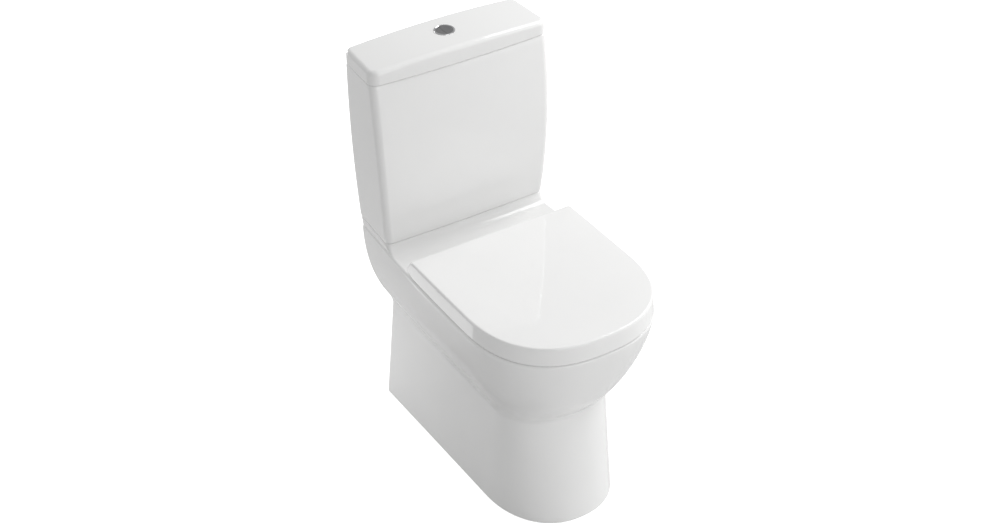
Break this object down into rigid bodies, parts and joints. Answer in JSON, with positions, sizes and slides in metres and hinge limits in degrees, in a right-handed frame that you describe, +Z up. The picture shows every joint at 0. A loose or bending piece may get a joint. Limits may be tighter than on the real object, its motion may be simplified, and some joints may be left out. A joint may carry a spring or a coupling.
{
  "type": "close coupled toilet",
  "caption": "Floor-standing close coupled toilet: pan with a smooth pedestal, cistern with a round push button on its lid, and a hinged seat and lid.",
  "frame": {"origin": "on the floor, under the middle of the toilet's bounding box", "axes": "+Z up, -Y the front of the bowl, +X to the right of a person who faces +Y"},
  "size_m": [0.3676, 0.5802, 0.8066],
  "materials": {
    "china": "glossy white glaze",
    "seat_plastic": "glossy white thermoset",
    "buffer_rubber": "pale soft rubber",
    "chrome": "polished plate",
    "dark_chrome": "dark brushed plate",
    "steel": "plain stainless",
    "black_rubber": "black rubber",
    "white_plastic": "moulded, satin",
    "grey_plastic": "moulded, satin",
    "blue_plastic": "moulded, satin",
    "brass": "plain"
  },
  "bodies": {
    "toilet": {"pan": "china", "cistern": "china", "cistern_lid": "china", "hinge_post_left": "chrome", "hinge_post_right": "chrome", "hinge_pin_left": "steel", "hinge_pin_right": "steel", "hinge_studs": "steel", "hinge_gaskets": "black_rubber", "hinge_washers": "white_plastic", "hinge_wing_nuts": "white_plastic", "button_housing": "chrome", "button_clamp_nut": "white_plastic", "flush_valve_base": "white_plastic", "flush_valve_tower": "white_plastic", "flush_valve_head": "blue_plastic", "flush_valve_nut": "white_plastic", "coupling_gasket": "black_rubber", "coupling_bolts": "brass", "coupling_rubber_washers": "black_rubber", "coupling_washers": "brass", "coupling_wing_nuts": "brass", "fill_valve_riser": "white_plastic", "fill_valve_cap": "blue_plastic", "fill_valve_inlet_washer": "black_rubber", "fill_valve_nut": "white_plastic"},
    "lid": {"seat_lid": "seat_plastic", "lid_buffers": "buffer_rubber"},
    "ring": {"seat_ring": "seat_plastic", "ring_buffers": "buffer_rubber"},
    "full_button": {"full_flush_button": "dark_chrome", "full_push_rod": "white_plastic"},
    "half_button": {"half_flush_button": "dark_chrome", "half_push_rod": "white_plastic"},
    "flush_plunger": {"overflow_tube": "white_plastic", "flush_seal": "black_rubber", "half_flush_float": "blue_plastic"},
    "fill_float": {"fill_valve_float": "grey_plastic"},
    "fill_lever": {"fill_valve_lever": "white_plastic"}
  },
  "joints": [
    {"name": "lid_hinge", "type": "hinge", "parent": "toilet", "child": "lid", "pos_m": [0, 0.076, 0.441], "axis": [-1, 0, 0], "range_deg": [0, 100]},
    {"name": "ring_hinge", "type": "hinge", "parent": "toilet", "child": "ring", "pos_m": [0, 0.076, 0.441], "axis": [-1, 0, 0], "range_deg": [0, 94]},
    {"name": "full_button_press", "type": "slide", "parent": "toilet", "child": "full_button", "axis": [0, 0, -1], "range_m": [0, 0.006], "stiffness_N_per_m": 300},
    {"name": "half_button_press", "type": "slide", "parent": "toilet", "child": "half_button", "axis": [0, 0, -1], "range_m": [0, 0.006], "stiffness_N_per_m": 300},
    {"name": "plunger_lift", "type": "slide", "parent": "toilet", "child": "flush_plunger", "axis": [0, 0, 1], "range_m": [0, 0.018]},
    {"name": "float_rise", "type": "slide", "parent": "toilet", "child": "fill_float", "axis": [0, 0, 1], "range_m": [0, 0.012]},
    {"name": "lever_turn", "type": "hinge", "parent": "toilet", "child": "fill_lever", "pos_m": [-0.133, 0.236, 0.669], "axis": [0, -1, 0], "range_deg": [0, 21.49]}
  ],
  "couplings": [
    {"joint": "ring_hinge", "follows": "lid_hinge", "ratio": 0.94},
    {"joint": "plunger_lift", "follows": "full_button_press", "ratio": 3},
    {"joint": "lever_turn", "follows": "float_rise", "rad_per_m": 31.25}
  ]
}
